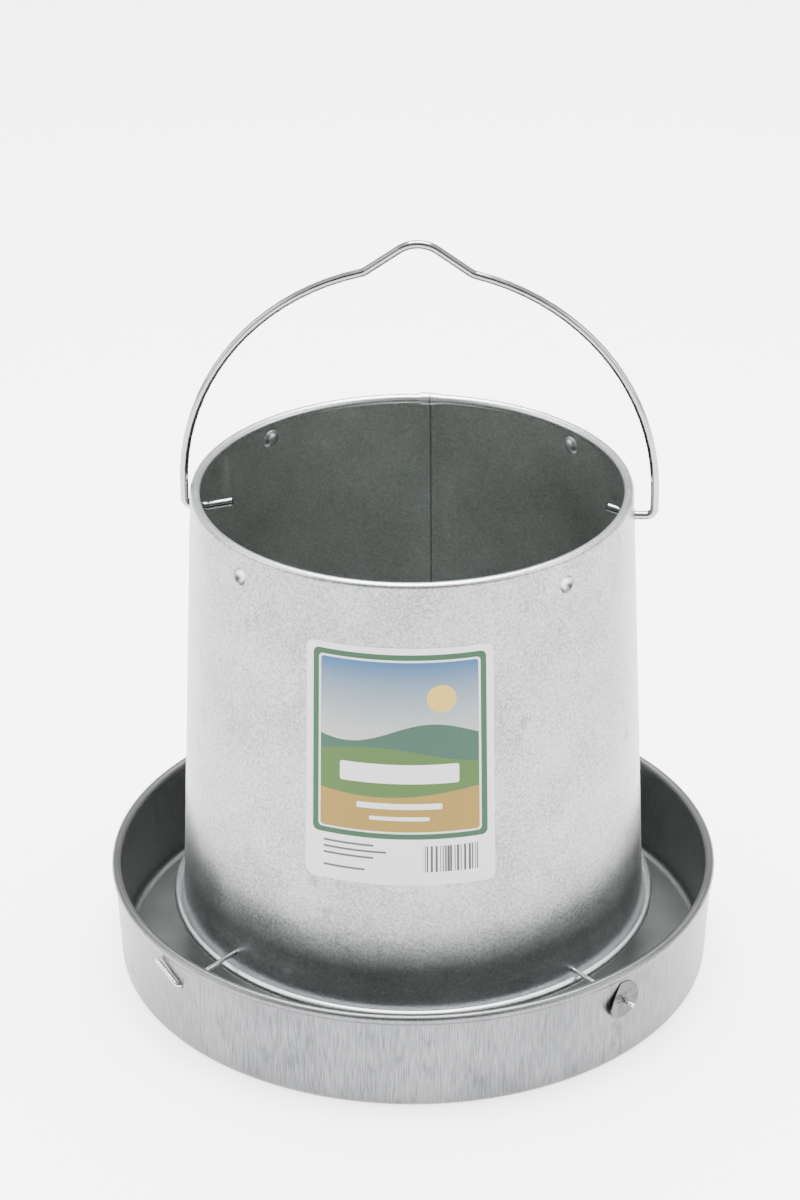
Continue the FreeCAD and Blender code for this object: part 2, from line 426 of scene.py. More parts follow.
# ---- finishes ------------------------------------------------------------------------------------------
@dataclass(frozen=True)
class GalvanisedSheet:
    """Zinc coated sheet with a fine mottled grain and soft clouds, with optional painted light and painted shade.
    """
    name: str
    dark: Colour
    light: Colour
    roughness: float
    grain: float = 1.2 * MM          # size of the mottling
    streak: float = 1.0              # how many times longer than wide the grain is, along Z
    grain_depth: float = 0.012 * MM
    cloud: float = 38 * MM           # size of the soft clouds
    stain: float = 11 * MM           # size of the dull spots
    contrast: float = 1.0            # of the mottling
    seam: bool = False               # whether it has the lap seam and the dimples, with painted shade along the seam's inner edge and round the dimples
    painted_light_below: float = 0.0         # height under which painted light lightens the sheet and fades its mottling
    painted_light_tone: float = 2.7          # tone of the painted light under that height, over the tone above it
    inner_light_tone: float = 1.0          # painted light: tone of the inner side, over the outer side's
    inner_light_tint: tuple[float, float] = (1.025, 0.975)      # green and blue of the inner side's painted light, over the outer's
    wall: tuple[float, float] = (0.0, 0.0)      # radius of the wall's middle at the floor, growth per height
    ring: tuple[float, float] = (3.7 * MM, 0.5 * MM)        # radius and half width of the painted shade ring round a dimple

    def material(self) -> bpy.types.Material:
        """Builds the material.

        Returns:
            The material.
        """
        graph = Graph(self.name)
        grain = graph.noise(self.grain, 3.0, (1.0, 1.0, 1.0 / self.streak))
        cloud = graph.noise(self.cloud, 2.0)
        stain = graph.noise(self.stain, 3.0, (1.0, 1.0, 0.6)).ease(0.60, 0.78)
        tone = ((grain - 0.5) * 2.2 + (cloud - 0.5) * 0.9) * self.contrast + 0.5 - stain * 0.35
        colour = graph.mix(tone, self.dark, self.light)
        # Painted light: the sheet gets lighter and less mottled towards the bottom.
        if self.painted_light_below > 0.0:
            lit_bottom = graph.mix((tone - 0.5) * 0.3 + 0.6, *self.ends(self.painted_light_tone))
            colour = graph.mix(graph.axes()[2].inside(self.painted_light_below, 16 * MM), colour, lit_bottom)
        # Painted light: the inner side is painted lighter than the outer side.
        if self.inner_light_tone != 1.0:
            inner = graph.mix((tone - 0.5) * 0.35 + 0.5, *self.ends(self.inner_light_tone, *self.inner_light_tint))
            colour = graph.mix(self.inner_side(graph), colour, inner)
        # Painted shade: a dark line along the seam's inner edge and dark rings round the dimples.
        if self.seam:
            shade = tuple(part * 0.25 for part in self.dark)
            colour = graph.mix((self.seam_shade_line(graph) * 0.6).high(self.dimple_shade_rings(graph) * 0.55), colour, shade)
        graph.dress(Base_Color=colour, Metallic=1.0,
                    Roughness=self.roughness + (grain - 0.5) * 0.22 + (cloud - 0.5) * 0.10 + stain * 0.08)
        graph.bump(grain, self.grain_depth)
        return graph.material

    def ends(self, tone: float, green: float = 1.0, blue: float = 1.0) -> list[Colour]:
        """Lightens the grain's two colours.

        Args:
            tone: How many times lighter they get.
            green: How much more of their green stays.
            blue: How much more of their blue stays.

        Returns:
            The dark one and the light one.
        """
        tint = (tone, tone * green, tone * blue)
        return [tuple(part * share for part, share in zip(end, tint)) for end in (self.dark, self.light)]

    def seam_shade_line(self, graph: Graph) -> "Value":
        """Masks the painted shade along the inner layer's edge, standing for the shadow of the seam's step.

        Args:
            graph: The graph to add it to.

        Returns:
            1 on the line, 0 elsewhere.
        """
        x, y, _ = graph.axes()
        off = abs(x - y * math.tan(math.radians(180.0 - SEAM[0])))
        return off.inside(0.35 * MM, 0.25 * MM) * self.back(y)

    def dimple_shade_rings(self, graph: Graph) -> "Value":
        """Masks the painted shade rings round the four dimples.

        Args:
            graph: The graph to add it to.

        Returns:
            1 on the rings, 0 elsewhere.
        """
        x, y, z = graph.axes()
        dx, dy, dz = abs(x) - DIMPLE_OFFSET, abs(y) - DIMPLE_OFFSET, z - DIMPLE_HEIGHT
        radius, half_width = self.ring
        return abs((dx * dx + dy * dy + dz * dz).apply("SQRT") - radius).inside(half_width, half_width)

    def back(self, y: "Value") -> "Value":
        """Masks the back half, where the seam is."""
        return y.ease(0.0, 10 * MM)

    def seam_step(self, x: "Value", y: "Value") -> "Value":
        """Finds how far out the lap seam's outer layer stands.

        Args:
            x: The spot.
            y: The spot.

        Returns:
            The distance, which is 0 away from the seam.
        """
        slope = x / y                                       # tangent of the angle short of straight back
        stepped_out = 1.0 - slope.ease(0.0314, 0.1016)      # from 5.8 to 1.8 degrees
        short_of_edge = slope.ease(-0.0150, -0.0140)        # up to 0.8 degrees on the other side
        return stepped_out * short_of_edge * self.back(y) * SEAM_STEP

    def inner_side(self, graph: Graph) -> "Value":
        """Masks the side of the sheet that faces the axis, or lies over the floor's middle surface.

        Args:
            graph: The graph to add it to.

        Returns:
            1 on the inner side, 0 on the outer.
        """
        x, y, z = graph.axes()
        reach = (x * x + y * y).apply("SQRT")
        if self.seam:
            reach = reach - self.seam_step(x, y)
        radius, growth = self.wall
        return (reach - z * growth).inside(radius, 0.1 * MM) * z.ease(0.3 * MM, 0.4 * MM)


@dataclass(frozen=True)
class DrawnWire:
    """Bright zinc coated wire with faint scuffs."""
    name: str
    tone: float
    roughness: float

    def material(self) -> bpy.types.Material:
        """Builds the material.

        Returns:
            The material.
        """
        graph = Graph(self.name)
        scuff = graph.noise(2.5 * MM, 3.0)
        cloud = graph.noise(14 * MM, 1.0)
        light = (self.tone, self.tone * 1.01, self.tone * 1.02)
        dark = tuple(part * 0.78 for part in light)
        graph.dress(Base_Color=graph.mix((scuff - 0.5) * 1.6 + (cloud - 0.5) + 0.6, dark, light), Metallic=1.0,
                    Roughness=self.roughness + (scuff - 0.5) * 0.2)
        graph.bump(scuff, 0.010 * MM)
        return graph.material


@dataclass(frozen=True)
class SpringSteel:
    """Dull, rough spring steel of a push nut."""
    name: str = "spring_steel"

    def material(self) -> bpy.types.Material:
        """Builds the material.

        Returns:
            The material.
        """
        graph = Graph(self.name)
        pit = graph.noise(0.9 * MM, 4.0)
        patch = graph.noise(4.0 * MM, 2.0)
        tone = (pit - 0.5) * 1.8 + (patch - 0.5) * 1.4 + 0.5
        graph.dress(Base_Color=graph.mix(tone, (0.045, 0.045, 0.0445), (0.13, 0.13, 0.128)), Metallic=0.9,
                    Roughness=0.48 + (patch - 0.5) * 0.3)
        graph.bump(pit, 0.06 * MM)
        return graph.material


@dataclass(frozen=True)
class PaleFloor:
    """Plain pale studio floor."""
    tone: float = 0.9
    glow: float = 2.6                # keeps it white, as on a light table

    def material(self) -> bpy.types.Material:
        """Builds the material.

        Returns:
            The material.
        """
        graph = Graph("floor")
        graph.dress(Base_Color=(self.tone, self.tone, self.tone, 1.0), Roughness=0.9,
                    Emission_Color=(1.0, 1.0, 1.0, 1.0), Emission_Strength=self.glow)
        return graph.material


class Print:
    """Artwork of the label, drawn in millimetres from the middle of its lower edge."""

    def __init__(self, width: float, height: float) -> None:
        """Starts the artwork on plain white film.

        Args:
            width: The label's width in millimetres.
            height: The label's height in millimetres.
        """
        self.graph = Graph("printed_film")
        uv = self.graph.add("ShaderNodeUVMap", {"uv_map": "film"}, {}).outputs[0]
        across, up, _ = self.graph.axes(uv)
        self.x, self.y = (across - 0.5) * width, up * height
        self.colour: object = (0.56, 0.56, 0.57)

    def block(self, left: float, bottom: float, right: float, top: float, corner: float = 0.3) -> Value:
        """Masks a rectangle with round corners.

        Args:
            left: Its left side.
            bottom: Its lower side.
            right: Its right side.
            top: Its upper side.
            corner: The corners' radius.

        Returns:
            1 inside it, 0 outside.
        """
        across = abs(self.x - (left + right) / 2.0) - (right - left) / 2.0 + corner
        along = abs(self.y - (bottom + top) / 2.0) - (top - bottom) / 2.0 + corner
        out_x, out_y = across.high(0.0), along.high(0.0)
        distance = (out_x * out_x + out_y * out_y).apply("SQRT") + across.high(along).low(0.0)
        return distance.inside(corner, 0.12)

    def disc(self, x: float, y: float, radius: float) -> Value:
        """Masks a disc."""
        dx, dy = self.x - x, self.y - y
        return (dx * dx + dy * dy).apply("SQRT").inside(radius, 0.15)

    def paint(self, mask: object, colour: object) -> None:
        """Prints a colour where a mask is 1."""
        self.colour = self.graph.mix(mask, self.colour, colour)


@dataclass(frozen=True)
class PrintedFilm:
    """Self-adhesive label: plain rolling hills in a plain frame, blank bars and a striped block."""
    width: float                     # millimetres
    height: float
    white: Colour = (0.52, 0.52, 0.52)

    def material(self) -> bpy.types.Material:
        """Builds the material.

        Returns:
            The material.
        """
        art = Print(self.width, self.height)
        self.frame(art)
        self.picture(art)
        self.bars(art)
        self.small_print(art)
        art.graph.dress(Base_Color=art.colour, Roughness=0.42, Coat_Weight=0.04, Specular_IOR_Level=0.25)
        art.graph.bump(art.graph.noise(6 * MM, 1.0), 0.03 * MM)
        return art.graph.material

    def frame(self, art: Print) -> None:
        """Prints a plain green frame with a white line inside it."""
        art.paint(art.block(-41.5, 24.6, 41.5, 120.6, 3.0), (0.010, 0.055, 0.022))
        art.paint(art.block(-38.6, 27.5, 38.6, 117.7, 2.0), self.white)

    def picture(self, art: Print) -> None:
        """Prints the sky, the sun and three smooth hills.

        Args:
            art: The artwork.
        """
        window = art.block(-37.6, 28.5, 37.6, 116.7, 1.6)
        haze, blue = (0.33, 0.34, 0.30), (0.010, 0.07, 0.17)
        sky = art.graph.add("ShaderNodeValToRGB", {"stops": [(0.0, haze), (1.0, blue)]},
                            {0: (art.y - 74.0) / 43.0}).outputs[0]
        art.paint(window, sky)
        art.paint(window * art.disc(20.0, 98.0, 7.0), (0.44, 0.30, 0.06))
        for middle, rise, length, start, colour in ((80.0, 5.0, 13.0, 0.4, (0.015, 0.055, 0.035)),
                                                    (68.0, 4.5, 19.0, 2.2, (0.035, 0.085, 0.012)),
                                                    (50.0, 3.5, 24.0, 5.1, (0.21, 0.13, 0.015))):
            ridge = (art.x / length + start).apply("SINE") * rise + middle
            art.paint(window * (art.y - ridge).inside(0.0, 0.25), colour)

    def bars(self, art: Print) -> None:
        """Prints the blank field and the two blank bars.

        Args:
            art: The artwork.
        """
        for half_width, bottom, top, corner in ((28.0, 54.0, 64.0, 1.2), (20.0, 40.5, 43.5, 0.8),
                                                (14.0, 34.5, 36.5, 0.6)):
            art.paint(art.block(-half_width, bottom, half_width, top, corner), self.white)

    def small_print(self, art: Print) -> None:
        """Prints the thin grey lines and the striped block under the frame.

        Args:
            art: The artwork.
        """
        left, top, spacing = -36.0, 20.6, 3.3
        for row, length in enumerate((24.0, 30.0, 24.0, 0.0, 20.0)):
            if length:
                y = top - row * spacing
                art.paint(art.block(left, y - 0.6, length + left, y + 0.6, 0.3), (0.06, 0.06, 0.065))
        stripe = art.graph.add("ShaderNodeTexNoise", {"noise_dimensions": "1D"},
                               {"W": art.x * 0.9, "Scale": 1.0, "Detail": 0.0})
        stripes = Value(art.graph, stripe.outputs["Fac"]).ease(0.49, 0.50)
        art.paint(stripes * art.block(11.0, 7.0, 37.0, 21.0, 0.1), (0.05, 0.05, 0.055))


# ---- round sheet ---------------------------------------------------------------------------------------
@dataclass
class Outline:
    """Half section of a round sheet's middle surface, as points of radius and height."""
    points: list[Vector] = field(default_factory=list)

    def run(self, radius: float, height: float, pieces: int = 1) -> "Outline":
        """Adds a straight run.

        Args:
            radius: Where it ends.
            height: Where it ends.
            pieces: How many equal pieces it is divided into.

        Returns:
            The outline itself.
        """
        end = Vector((radius, 0.0, height))
        start = self.points[-1] if self.points else end
        if not self.points:
            self.points.append(end)
            return self
        self.points.extend(start.lerp(end, share / pieces) for share in range(1, pieces + 1))
        return self

    def curl(self, radius: float, height: float, reach: float, start: float, end: float,
             pieces: int) -> "Outline":
        """Adds an arc.

        Args:
            radius: Its centre.
            height: Its centre.
            reach: Its radius.
            start: First angle in degrees, from outwards towards up.
            end: Last angle in degrees.
            pieces: How many pieces it is divided into.

        Returns:
            The outline itself.
        """
        for share in range(pieces + 1):
            turn = math.radians(start + (end - start) * share / pieces)
            point = Vector((radius + reach * math.cos(turn), 0.0, height + reach * math.sin(turn)))
            if not self.points or (point - self.points[-1]).length > 1e-7:
                self.points.append(point)
        return self

    def spin(self, start: float, turn: float, steps: int) -> BMesh:
        """Spins the outline about the feeder's axis.

        Args:
            start: Azimuth where the sheet starts.
            turn: How far it goes round, in degrees; 360 closes it.
            steps: How many steps it is spun in.

        Returns:
            The surface, with the columns of vertices in order.
        """
        mesh = bmesh.new()
        line = [mesh.verts.new(around(start, point.x, point.z)) for point in self.points]
        edges = [mesh.edges.new(pair) for pair in zip(line, line[1:])]
        bmesh.ops.spin(mesh, geom=line + edges, cent=(0, 0, 0), axis=UP, angle=math.radians(turn),
                       steps=steps, use_merge=turn == 360.0, use_duplicate=False)
        mesh.verts.ensure_lookup_table()
        return mesh


@dataclass
class Wall:
    """Tapered wall that holes and dimples are worked into."""
    mesh: BMesh
    radius_at: Callable[[float], float]     # radius of the middle surface at a height

    def local(self, point: Vector, azimuth: float, height: float) -> Vector:
        """Returns how far a point is from a spot, across and up the wall."""
        turn = (azimuth_of(point) - azimuth + 180.0) % 360.0 - 180.0
        return Vector((math.radians(turn) * self.radius_at(height), point.z - height))

    def place(self, across: float, up: float, azimuth: float, height: float, depth: float = 0.0) -> Vector:
        """Finds the point at a distance from a spot, across and up the wall, sunk in by a depth."""
        turn = azimuth + math.degrees(across / self.radius_at(height))
        return around(turn, self.radius_at(height + up) - depth, height + up)

    def window(self, azimuth: float, height: float, reach: float) -> list[BMEdge]:
        """Takes out the faces round a spot.

        Args:
            azimuth: The spot.
            height: The spot.
            reach: Half the window's side.

        Returns:
            The edges round the window.
        """
        def within(face: BMFace) -> bool:
            """Tells whether a face lies in the window."""
            middle = self.local(face.calc_center_median(), azimuth, height)
            return max(abs(middle.x), abs(middle.y)) < reach

        radius = self.radius_at(height)
        near = [face for face in self.mesh.faces if abs(face.verts[0].co.z - height) < 2.0 * reach
                and abs(face.verts[0].co.to_2d().length - radius) < 2 * MM and within(face)]
        border = [edge for edge in {edge for face in near for edge in face.edges}
                  if sum(face in near for face in edge.link_faces) == 1]
        bmesh.ops.delete(self.mesh, geom=near, context="FACES")
        return border

    def ring(self, azimuth: float, height: float, reach: float, radius: float) -> list[BMEdge]:
        """Replaces the faces round a spot by a ring of faces with a round hole.

        Args:
            azimuth: The spot.
            height: The spot.
            reach: Half the side of the square that is replaced.
            radius: The hole's radius.

        Returns:
            The edges round the hole.
        """
        border = self.window(azimuth, height, reach)
        made = bmesh.ops.create_circle(self.mesh, segments=len(border), radius=radius, cap_ends=False)
        for vert in made["verts"]:
            vert.co = self.place(vert.co.x, vert.co.y, azimuth, height)
        hole = list({edge for vert in made["verts"] for edge in vert.link_edges})
        bmesh.ops.bridge_loops(self.mesh, edges=border + hole)
        return hole

    def shrink(self, edges: list[BMEdge], azimuth: float, height: float, share: float,
               depth: float) -> list[BMEdge]:
        """Adds a smaller ring inside a hole.

        Args:
            edges: The hole's edges.
            azimuth: Its middle.
            height: Its middle.
            share: The new hole's size over the old one's.
            depth: How deep the new ring is sunk in.

        Returns:
            The new ring's edges.
        """
        made = bmesh.ops.extrude_edge_only(self.mesh, edges=edges)["geom"]
        for vert in (item for item in made if isinstance(item, BMVert)):
            spot = self.local(vert.co, azimuth, height) * share
            vert.co = self.place(spot.x, spot.y, azimuth, height, depth)
        fresh = {item for item in made if isinstance(item, BMVert)}
        return [item for item in made if isinstance(item, BMEdge) and fresh.issuperset(item.verts)]

    def dimple(self, azimuth: float, height: float, reach: float, radius: float, depth: float) -> None:
        """Presses a round dimple inwards.

        Args:
            azimuth: Its middle.
            height: Its middle.
            reach: Half the side of the square of faces that it replaces.
            radius: Its radius.
            depth: Its depth.
        """
        size = radius * 1.15                # the flat ring round it
        edges = self.ring(azimuth, height, reach, size)
        for share, sunk in DIMPLE_PROFILE:
            edges = self.shrink(edges, azimuth, height, share * radius / size, sunk * depth)
            size = share * radius
        bmesh.ops.edgeloop_fill(self.mesh, edges=edges)


@dataclass
class Hopper:
    """Tapered hopper: one rolled sheet, lapped at the back, with a rolled rim and a foot bead."""
    finish: GalvanisedSheet
    rim_curl: float = 2.4 * MM
    foot_curl: float = 2.4 * MM
    rim_radius: float = 106.5 * MM
    flare_radius: float = 116.2 * MM        # outside, where the wall starts to flare
    flare_height: float = 40.0 * MM
    wall_runs: tuple[tuple[float, int], ...] = ((253.0 * MM, 2), (237.2 * MM, 9), (48.2 * MM, 34),
                                                (34.5 * MM, 8))     # where each ends, its pieces
    joggle: float = 4.0                     # degrees over which the outer layer steps out
    dimple_patch: float = 6.4 * MM          # a patch is half the side of the square that a hole is worked into
    dimple_radius: float = 4.5 * MM
    dimple_depth: float = 2.1 * MM
    bail_height: float = 244.0 * MM
    bail_patch: float = 4.6 * MM
    bail_flange: tuple[float, float, float] = (3.1 * MM, 2.7 / 3.1, 0.12 * MM)      # radius, hole's share, height
    rod_patch: float = 2.9 * MM
    rod_hole: float = 1.35 * MM
    rod_heights: tuple[tuple[float, float], ...] = ((-45.0, 41.3 * MM), (135.0, 41.3 * MM),
                                                    (45.0, 37.4 * MM), (-135.0, 37.4 * MM))
    steps: int = 384
    taper: list[tuple[float, float]] = field(default_factory=list)      # middle surface: height, radius

    def __post_init__(self) -> None:
        """Works out the wall's taper from the CAD's box."""
        low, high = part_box("hopper")
        half = SHEET / 2.0
        self.taper = [(low.z + self.foot_curl, high.x - 2.0 * self.foot_curl + half),
                      (self.flare_height, self.flare_radius - half),
                      (high.z - self.rim_curl, self.rim_radius - half)]

    def radius_at(self, height: float) -> float:
        """Returns the radius of the sheet's middle surface at a height."""
        return interpolate(height, self.taper)

    def outline(self) -> Outline:
        """Draws the half section.

        Returns:
            The outline, from the rim's rolled edge to the foot's.
        """
        low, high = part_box("hopper")
        half = SHEET / 2.0
        rim, foot = high.z - self.rim_curl, low.z + self.foot_curl
        line = Outline().curl(self.rim_radius - self.rim_curl, rim, self.rim_curl - half, 262, 0, 20)
        for height, pieces in self.wall_runs:
            line.run(self.radius_at(height), height, pieces)
        return line.curl(high.x - self.foot_curl, foot, self.foot_curl - half, 180, 440, 20)

    def lap(self, mesh: BMesh, columns: int) -> None:
        """Steps the outer layer of the lap seam out over the inner one.

        Args:
            mesh: The spun sheet.
            columns: Vertices in each column.
        """
        mesh.normal_update()
        turn = 360.0 + SEAM[1] - SEAM[0]
        outwards = 1.0 if mesh.verts[columns // 2].normal.dot(mesh.verts[columns // 2].co) > 0 else -1.0
        for index, vert in enumerate(mesh.verts):
            gone = turn * (index // columns) / self.steps
            share = smooth_step((gone - 360.0 + self.joggle) / self.joggle)
            vert.co += vert.normal * (outwards * share * SEAM_STEP)

    def build(self) -> bpy.types.Object:
        """Builds the piece.

        Returns:
            The piece.
        """
        line = self.outline()
        mesh = line.spin(SEAM[0], 360.0 + SEAM[1] - SEAM[0], self.steps)
        self.lap(mesh, len(line.points))
        wall = Wall(mesh, self.radius_at)
        for azimuth in QUARTERS:
            wall.dimple(azimuth, DIMPLE_HEIGHT, self.dimple_patch, self.dimple_radius, self.dimple_depth)
        flange, share, lift = self.bail_flange
        for azimuth in (-90.0, 90.0):
            edges = wall.ring(azimuth, self.bail_height, self.bail_patch, flange)
            wall.shrink(edges, azimuth, self.bail_height, share, -lift)
        for azimuth, height in self.rod_heights:
            wall.ring(azimuth, height, self.rod_patch, self.rod_hole)
        bmesh.ops.recalc_face_normals(mesh, faces=mesh.faces)
        piece = finish_piece(mesh, "hopper_sheet", Body.FEEDER, "hopper", self.finish.material())
        thicken(piece, SHEET)
        crisp_edges(piece, SHEET_CREASE)
        return piece


@dataclass
class Pan:
    """Round pan drawn from one sheet, with a rolled lip."""
    finish: GalvanisedSheet
    lip_curl: float = 2.5 * MM
    corner: float = 4.5 * MM
    foot_radius: float = 149.0 * MM
    top_radius: float = 151.0 * MM
    wall_runs: tuple[tuple[float, int], ...] = ((30.8 * MM, 9), (44.0 * MM, 8), (48.6 * MM, 3))
    rod_height: float = 37.4 * MM
    rod_patch: float = 3.4 * MM
    rod_hole: float = 1.4 * MM
    steps: int = 360
    taper: list[tuple[float, float]] = field(default_factory=list)      # middle surface: height, radius

    def __post_init__(self) -> None:
        """Works out the wall's taper from the CAD's box."""
        under_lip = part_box("pan")[1].z - 2.0 * self.lip_curl
        self.taper = [(self.corner, self.foot_radius - SHEET / 2.0), (under_lip, self.top_radius - SHEET / 2.0)]

    def radius_at(self, height: float) -> float:
        """Returns the radius of the wall's middle surface at a height."""
        return interpolate(height, self.taper)

    def outline(self) -> Outline:
        """Draws the half section.

        Returns:
            The outline, from the middle of the floor to the lip's rolled edge.
        """
        half = SHEET / 2.0
        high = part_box("pan")[1]
        line = Outline().run(0.0, half).run(20 * MM, half).run(self.foot_radius - self.corner - 6 * MM, half, 10)
        line.curl(self.foot_radius - self.corner, self.corner, self.corner - half, -90, 0, 10)
        for height, pieces in self.wall_runs:
            line.run(self.radius_at(height), height, pieces)
        return line.curl(high.x - self.lip_curl, high.z - self.lip_curl, self.lip_curl - half, -62, 238, 24)

    def build(self) -> bpy.types.Object:
        """Builds the piece.

        Returns:
            The piece.
        """
        mesh = self.outline().spin(180.0, 360.0, self.steps)
        bmesh.ops.remove_doubles(mesh, verts=mesh.verts, dist=0.01 * MM)
        wall = Wall(mesh, self.radius_at)
        for azimuth in QUARTERS:
            wall.ring(azimuth, self.rod_height, self.rod_patch, self.rod_hole)
        bmesh.ops.recalc_face_normals(mesh, faces=mesh.faces)
        piece = finish_piece(mesh, "pan_sheet", Body.FEEDER, "pan", self.finish.material())
        thicken(piece, SHEET)
        crisp_edges(piece, SHEET_CREASE)
        return piece


# ---- wires -----------------------------------------------------------------------------------------------
class BentWire:
    """Round wire formed as on a bending jig: fed straight, or turned about a centre."""

    def __init__(self, start: Vector, heading: Vector, radius: float, sides: int = 28) -> None:
        """Starts the wire with its cut end.

        Args:
            start: The middle of the cut end.
            heading: The direction that it is fed in.
            radius: The wire's radius.
            sides: How many sides its section has.
        """
        self.mesh = bmesh.new()
        self.at = start.copy()
        self.heading = heading.normalized()
        self.radius = radius
        made = bmesh.ops.create_circle(self.mesh, cap_ends=True, segments=sides, radius=radius)
        turn = UP.rotation_difference(self.heading).to_matrix().to_4x4()
        bmesh.ops.transform(self.mesh, matrix=Matrix.Translation(start) @ turn, verts=made["verts"])
        self.ring: list[Union[BMVert, BMEdge]] = list(self.mesh.verts) + list(self.mesh.edges)
        self.ends: list[BMEdge] = list(self.mesh.edges)

    def feed(self, length: float) -> "BentWire":
        """Feeds the wire straight on.

        Args:
            length: How far.

        Returns:
            The wire itself.
        """
        edges = [item for item in self.ring if isinstance(item, BMEdge)]
        made = bmesh.ops.extrude_edge_only(self.mesh, edges=edges)["geom"]
        fresh = [item for item in made if isinstance(item, BMVert)]
        bmesh.ops.translate(self.mesh, vec=self.heading * length, verts=fresh)
        rim = set(fresh)
        self.ring = fresh + [item for item in made if isinstance(item, BMEdge) and rim.issuperset(item.verts)]
        self.at += self.heading * length
        return self

    def turn(self, angle: float, radius: float, axis: Vector) -> "BentWire":
        """Bends the wire.

        Args:
            angle: How far it turns, in degrees, by the right-hand rule.
            radius: Radius of its centre line.
            axis: The axis that it turns about, square to the heading.

        Returns:
            The wire itself.
        """
        turn = math.radians(angle)
        side = axis.cross(self.heading) * math.copysign(1.0, turn)
        centre = self.at + side * radius
        steps = max(3, round(abs(angle) / 4.0))
        made = bmesh.ops.spin(self.mesh, geom=self.ring, cent=centre, axis=axis, angle=turn, steps=steps,
                              use_merge=False, use_duplicate=False)["geom_last"]
        self.ring = [item for item in made if isinstance(item, (BMVert, BMEdge))]
        spin = Matrix.Rotation(turn, 3, axis)
        self.heading = spin @ self.heading
        self.at = centre + spin @ (self.at - centre)
        return self

    def cut(self) -> BMesh:
        """Cuts the wire off and eases both cut edges.

        Returns:
            The finished mesh.
        """
        edges = [item for item in self.ring if isinstance(item, BMEdge)]
        bmesh.ops.edgeloop_fill(self.mesh, edges=edges)
        bmesh.ops.bevel(self.mesh, geom=self.ends + edges, offset=self.radius * 0.12, segments=2,
                        profile=0.5, affect="EDGES", material=-1)
        bmesh.ops.recalc_face_normals(self.mesh, faces=self.mesh.faces)
        return self.mesh


@dataclass
class Bail:
    """Wire bail: two legs, a half round arch and a hump for the hook."""
    finish: DrawnWire
    radius: float = 2.05 * MM
    pivot_height: float = 244.0 * MM
    arch_height: float = 256.4 * MM
    bend: float = 4.0 * MM
    hump_radius: float = 16.0 * MM
    hump_slope: float = 35.0
    kink_radius: float = 9.0 * MM
    pivot_length: float = 11.0 * MM
    tip_length: float = 12.5 * MM
    tip_bend: float = 8.0 * MM
    tip_slopes: tuple[float, float] = (12.0, 20.0)      # at the -X end and at the +X end

    def build(self) -> bpy.types.Object:
        """Builds the piece.

        Returns:
            The piece.
        """
        low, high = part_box("bail")
        half_width = (high.x - low.x) / 2.0 - self.radius
        middle = (high.x + low.x) / 2.0
        hump = Vector((0.0, 0.0, high.z - self.radius - self.hump_radius - self.arch_height))
        slope = math.radians(self.hump_slope)
        flank = Vector((math.cos(slope), 0.0, math.sin(slope)))
        square = Vector((-math.sin(slope), 0.0, math.cos(slope)))
        # centre of the kink's bend: as far from the flank as from the arch, on the outer side
        top = hump + square * (self.hump_radius + self.kink_radius)
        nearest = top.dot(flank)
        flank_length = nearest - math.sqrt(nearest ** 2 - top.dot(top) + (half_width + self.kink_radius) ** 2)
        centre = top - flank * flank_length
        arch = 180.0 - math.degrees(math.atan2(centre.z, centre.x))
        kink = self.hump_slope - (90.0 - arch)

        turn = Vector((0.0, 1.0, 0.0))              # a turn to the right, seen from the front
        first, last = self.tip_slopes
        ease = self.tip_bend * math.tan(math.radians(first) / 2.0)
        lean = math.radians(first)
        start = Vector((middle - half_width + self.pivot_length + self.tip_length * math.cos(lean), 0.0,
                        self.pivot_height + self.tip_length * math.sin(lean)))
        wire = BentWire(start, Vector((-math.cos(lean), 0.0, -math.sin(lean))), self.radius)
        wire.feed(self.tip_length - ease).turn(first, self.tip_bend, turn)
        wire.feed(self.pivot_length - ease - self.bend).turn(90.0, self.bend, turn)
        wire.feed(self.arch_height - self.pivot_height - self.bend)
        wire.turn(arch, half_width, turn).turn(-kink, self.kink_radius, turn).feed(flank_length)
        wire.turn(2.0 * self.hump_slope, self.hump_radius, turn)
        wire.feed(flank_length).turn(-kink, self.kink_radius, turn).turn(arch, half_width, turn)
        wire.feed(self.arch_height - self.pivot_height - self.bend).turn(90.0, self.bend, turn)
        ease = self.tip_bend * math.tan(math.radians(last) / 2.0)
        wire.feed(self.pivot_length - ease - self.bend).turn(last, self.tip_bend, turn)
        wire.feed(self.tip_length - ease)
        piece = finish_piece(wire.cut(), "bail_wire", Body.BAIL, "bail", self.finish.material())
        crisp_edges(piece, WIRE_CREASE)
        return piece


